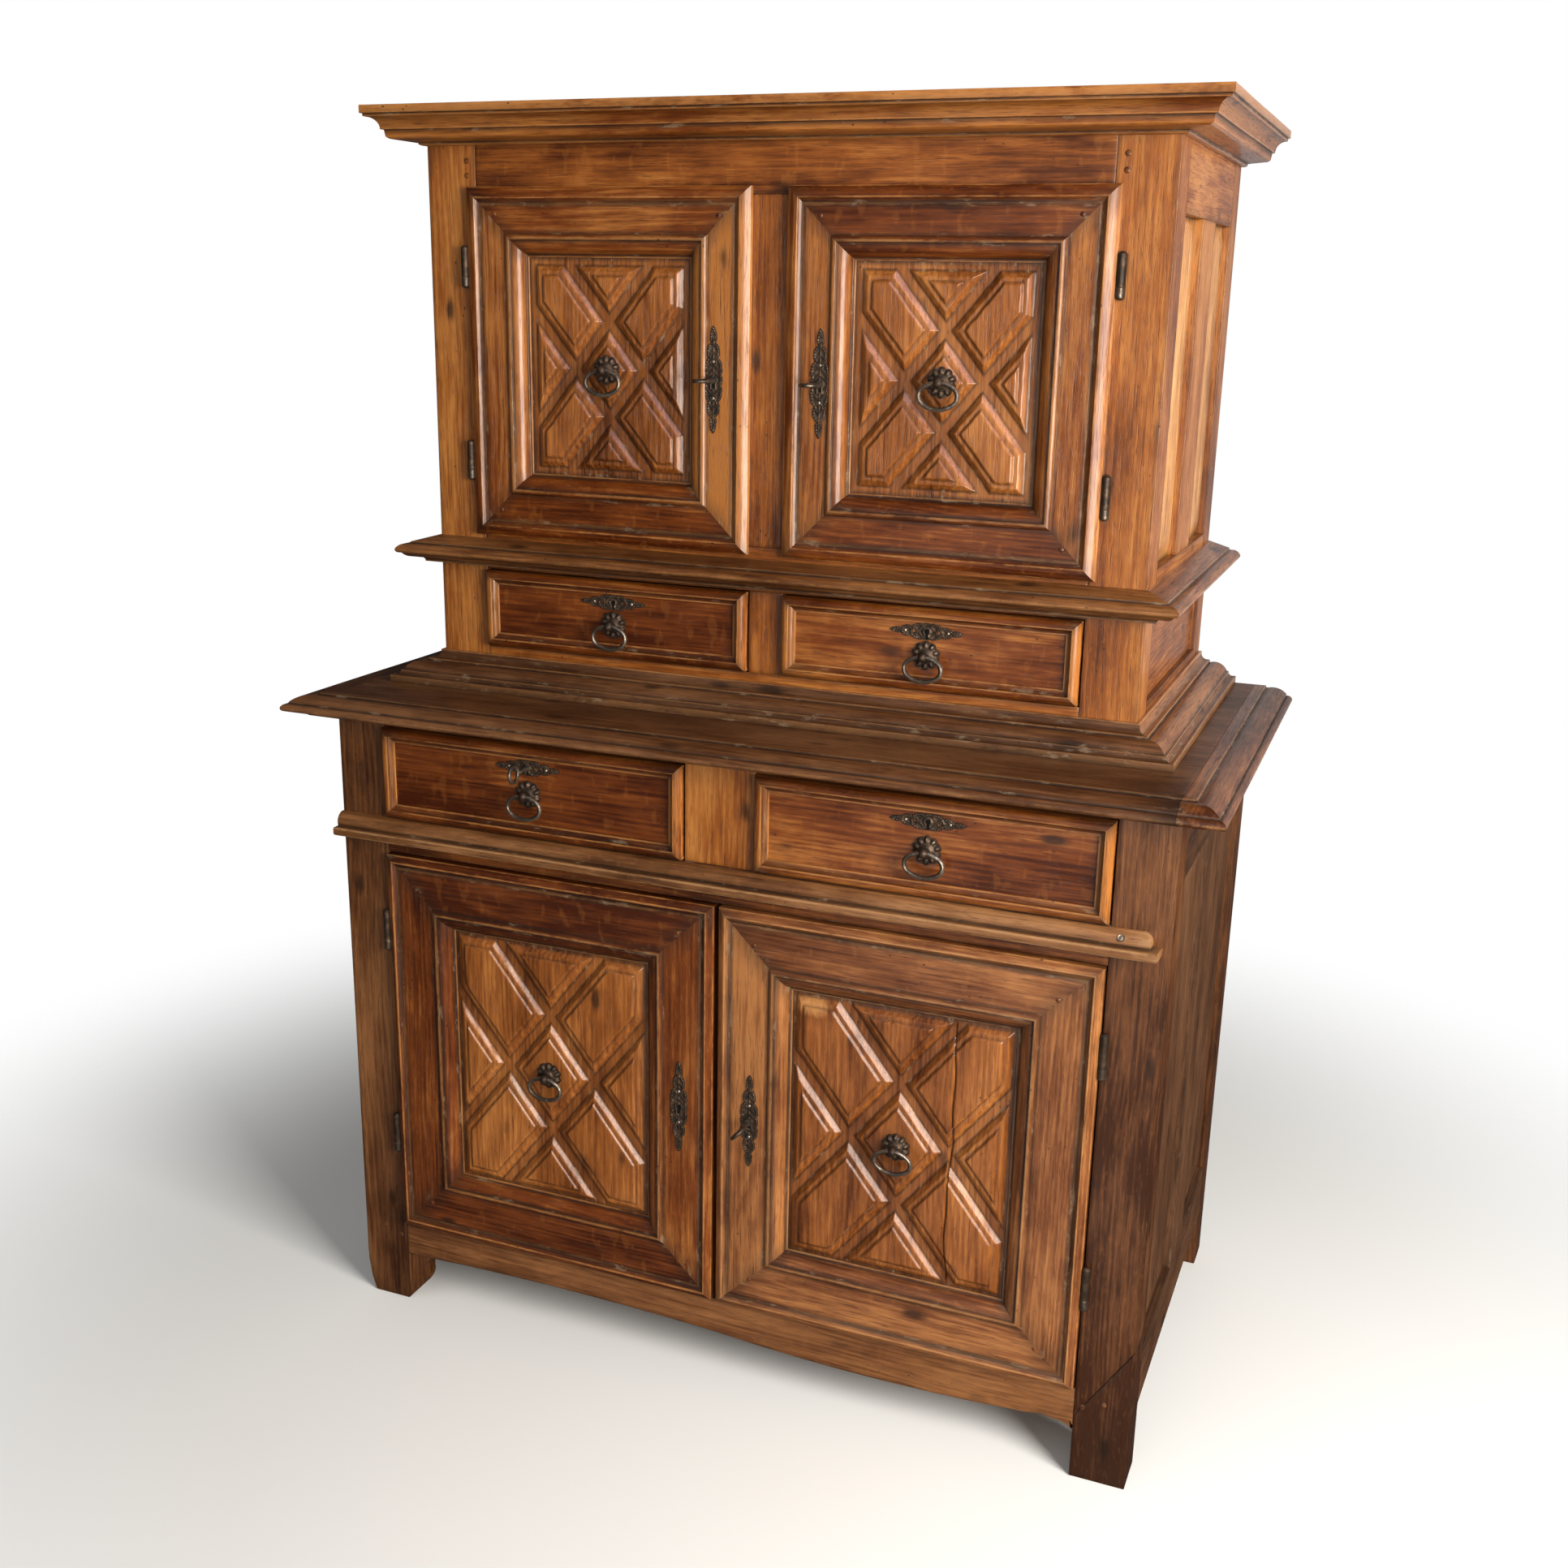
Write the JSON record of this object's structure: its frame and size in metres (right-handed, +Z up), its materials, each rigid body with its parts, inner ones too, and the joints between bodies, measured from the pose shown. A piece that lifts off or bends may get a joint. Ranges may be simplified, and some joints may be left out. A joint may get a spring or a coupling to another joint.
{
  "type": "buffet",
  "caption": "Two-part oak buffet with lattice-carved doors, framed drawers, ring pulls, keys and moulded cornice.",
  "frame": {"origin": "middle of the footprint on the floor", "axes": "+Z up, the front with doors and drawers faces -Y, +X to the right seen from the front"},
  "size_m": [1.402, 0.766, 1.88],
  "materials": {
    "oak_case": "waxed old oak, dark red-brown",
    "oak_front": "waxed old oak, worn at the mouldings",
    "oak_panel": "waxed carved oak, honey brown",
    "oak_inside": "unpolished oak",
    "iron": "dark rubbed iron"
  },
  "bodies": {
    "carcase": {"base_moulding": "oak_case", "cornice": "oak_case", "drawer_runners": "oak_inside", "hinge_pins": "iron", "lower_apron": "oak_case", "lower_back_boards": "oak_inside", "lower_boards": "oak_inside", "lower_muntins": "oak_case", "lower_posts": "oak_case", "lower_rails": "oak_case", "lower_side_panels": "oak_case", "serving_top": "oak_case", "strip_moulding": "oak_case", "upper_back_boards": "oak_inside", "upper_boards": "oak_inside", "upper_muntins": "oak_case", "upper_rails": "oak_case", "upper_side_panels": "oak_case", "upper_stiles": "oak_case", "waist_moulding": "oak_case"},
    "upper_left_door": {"upper_left_door_frame": "oak_front", "upper_left_door_panel": "oak_panel", "upper_left_door_fittings": "iron"},
    "upper_left_door_ring": {"upper_left_door_ring": "iron"},
    "upper_left_door_key": {"upper_left_door_key": "iron"},
    "upper_left_door_bolt": {"upper_left_door_bolt": "iron"},
    "upper_left_drawer": {"upper_left_drawer_front": "oak_front", "upper_left_drawer_box": "oak_inside", "upper_left_drawer_fittings": "iron"},
    "upper_left_drawer_ring": {"upper_left_drawer_ring": "iron"},
    "upper_right_door": {"upper_right_door_frame": "oak_front", "upper_right_door_panel": "oak_panel", "upper_right_door_fittings": "iron"},
    "upper_right_door_ring": {"upper_right_door_ring": "iron"},
    "upper_right_door_key": {"upper_right_door_key": "iron"},
    "upper_right_door_bolt": {"upper_right_door_bolt": "iron"},
    "upper_right_drawer": {"upper_right_drawer_front": "oak_front", "upper_right_drawer_box": "oak_inside", "upper_right_drawer_fittings": "iron"},
    "upper_right_drawer_ring": {"upper_right_drawer_ring": "iron"},
    "lower_left_door": {"lower_left_door_frame": "oak_front", "lower_left_door_panel": "oak_panel", "lower_left_door_fittings": "iron"},
    "lower_left_door_ring": {"lower_left_door_ring": "iron"},
    "lower_left_drawer": {"lower_left_drawer_front": "oak_front", "lower_left_drawer_box": "oak_inside", "lower_left_drawer_fittings": "iron"},
    "lower_left_drawer_ring": {"lower_left_drawer_ring": "iron"},
    "lower_left_drawer_key": {"lower_left_drawer_key": "iron"},
    "lower_left_drawer_bolt": {"lower_left_drawer_bolt": "iron"},
    "lower_right_door": {"lower_right_door_frame": "oak_front", "lower_right_door_panel": "oak_panel", "lower_right_door_fittings": "iron"},
    "lower_right_door_ring": {"lower_right_door_ring": "iron"},
    "lower_right_door_key": {"lower_right_door_key": "iron"},
    "lower_right_door_bolt": {"lower_right_door_bolt": "iron"},
    "lower_right_drawer": {"lower_right_drawer_front": "oak_front", "lower_right_drawer_box": "oak_inside", "lower_right_drawer_fittings": "iron"},
    "lower_right_drawer_ring": {"lower_right_drawer_ring": "iron"}
  },
  "joints": [
    {"name": "upper_left_door_hinge", "type": "hinge", "parent": "carcase", "child": "upper_left_door", "pos_m": [-0.4833, -0.1678, 1.521], "axis": [0, 0, -1], "range_deg": [0, 105]},
    {"name": "upper_left_door_ring_swing", "type": "hinge", "parent": "upper_left_door", "child": "upper_left_door_ring", "pos_m": [-0.252, -0.182, 1.521], "axis": [-1, 0, 0], "range_deg": [0, 110]},
    {"name": "upper_left_door_key_turn", "type": "hinge", "parent": "upper_left_door", "child": "upper_left_door_key", "pos_m": [-0.08, -0.1725, 1.513], "axis": [0, 1, 0], "range_deg": [0, 186]},
    {"name": "upper_left_door_bolt_slide", "type": "slide", "parent": "upper_left_door", "child": "upper_left_door_bolt", "axis": [1, 0, 0], "range_m": [0, 0.016]},
    {"name": "upper_left_drawer_slide", "type": "slide", "parent": "carcase", "child": "upper_left_drawer", "axis": [0, -1, 0], "range_m": [0, 0.28]},
    {"name": "upper_left_drawer_ring_swing", "type": "hinge", "parent": "upper_left_drawer", "child": "upper_left_drawer_ring", "pos_m": [-0.246, -0.18, 1.1475], "axis": [-1, 0, 0], "range_deg": [0, 110]},
    {"name": "upper_right_door_hinge", "type": "hinge", "parent": "carcase", "child": "upper_right_door", "pos_m": [0.4833, -0.1678, 1.521], "axis": [0, 0, 1], "range_deg": [0, 105]},
    {"name": "upper_right_door_ring_swing", "type": "hinge", "parent": "upper_right_door", "child": "upper_right_door_ring", "pos_m": [0.252, -0.182, 1.521], "axis": [-1, 0, 0], "range_deg": [0, 110]},
    {"name": "upper_right_door_key_turn", "type": "hinge", "parent": "upper_right_door", "child": "upper_right_door_key", "pos_m": [0.08, -0.1725, 1.513], "axis": [0, -1, 0], "range_deg": [0, 186]},
    {"name": "upper_right_door_bolt_slide", "type": "slide", "parent": "upper_right_door", "child": "upper_right_door_bolt", "axis": [-1, 0, 0], "range_m": [0, 0.016]},
    {"name": "upper_right_drawer_slide", "type": "slide", "parent": "carcase", "child": "upper_right_drawer", "axis": [0, -1, 0], "range_m": [0, 0.28]},
    {"name": "upper_right_drawer_ring_swing", "type": "hinge", "parent": "upper_right_drawer", "child": "upper_right_drawer_ring", "pos_m": [0.246, -0.18, 1.1475], "axis": [-1, 0, 0], "range_deg": [0, 110]},
    {"name": "lower_left_door_hinge", "type": "hinge", "parent": "carcase", "child": "lower_left_door", "pos_m": [-0.5643, -0.3258, 0.468], "axis": [0, 0, -1], "range_deg": [0, 105]},
    {"name": "lower_left_door_ring_swing", "type": "hinge", "parent": "lower_left_door", "child": "lower_left_door_ring", "pos_m": [-0.281, -0.34, 0.468], "axis": [-1, 0, 0], "range_deg": [0, 110]},
    {"name": "lower_left_drawer_slide", "type": "slide", "parent": "carcase", "child": "lower_left_drawer", "axis": [0, -1, 0], "range_m": [0, 0.36]},
    {"name": "lower_left_drawer_ring_swing", "type": "hinge", "parent": "lower_left_drawer", "child": "lower_left_drawer_ring", "pos_m": [-0.307, -0.338, 0.916], "axis": [-1, 0, 0], "range_deg": [0, 110]},
    {"name": "lower_left_drawer_key_turn", "type": "hinge", "parent": "lower_left_drawer", "child": "lower_left_drawer_key", "pos_m": [-0.307, -0.3225, 0.956], "axis": [0, 1, 0], "range_deg": [0, 186]},
    {"name": "lower_left_drawer_bolt_slide", "type": "slide", "parent": "lower_left_drawer", "child": "lower_left_drawer_bolt", "axis": [0, 0, 1], "range_m": [0, 0.016]},
    {"name": "lower_right_door_hinge", "type": "hinge", "parent": "carcase", "child": "lower_right_door", "pos_m": [0.5643, -0.3258, 0.468], "axis": [0, 0, 1], "range_deg": [0, 105]},
    {"name": "lower_right_door_ring_swing", "type": "hinge", "parent": "lower_right_door", "child": "lower_right_door_ring", "pos_m": [0.281, -0.34, 0.468], "axis": [-1, 0, 0], "range_deg": [0, 110]},
    {"name": "lower_right_door_key_turn", "type": "hinge", "parent": "lower_right_door", "child": "lower_right_door_key", "pos_m": [0.057, -0.3305, 0.464], "axis": [0, -1, 0], "range_deg": [0, 186]},
    {"name": "lower_right_door_bolt_slide", "type": "slide", "parent": "lower_right_door", "child": "lower_right_door_bolt", "axis": [-1, 0, 0], "range_m": [0, 0.016]},
    {"name": "lower_right_drawer_slide", "type": "slide", "parent": "carcase", "child": "lower_right_drawer", "axis": [0, -1, 0], "range_m": [0, 0.36]},
    {"name": "lower_right_drawer_ring_swing", "type": "hinge", "parent": "lower_right_drawer", "child": "lower_right_drawer_ring", "pos_m": [0.307, -0.338, 0.916], "axis": [-1, 0, 0], "range_deg": [0, 110]}
  ],
  "couplings": [
    {"joint": "upper_left_door_key_turn", "follows": "upper_left_door_bolt_slide", "rad_per_m": 196.35},
    {"joint": "upper_right_door_key_turn", "follows": "upper_right_door_bolt_slide", "rad_per_m": 196.35},
    {"joint": "lower_left_drawer_key_turn", "follows": "lower_left_drawer_bolt_slide", "rad_per_m": 196.35},
    {"joint": "lower_right_door_key_turn", "follows": "lower_right_door_bolt_slide", "rad_per_m": 196.35}
  ]
}
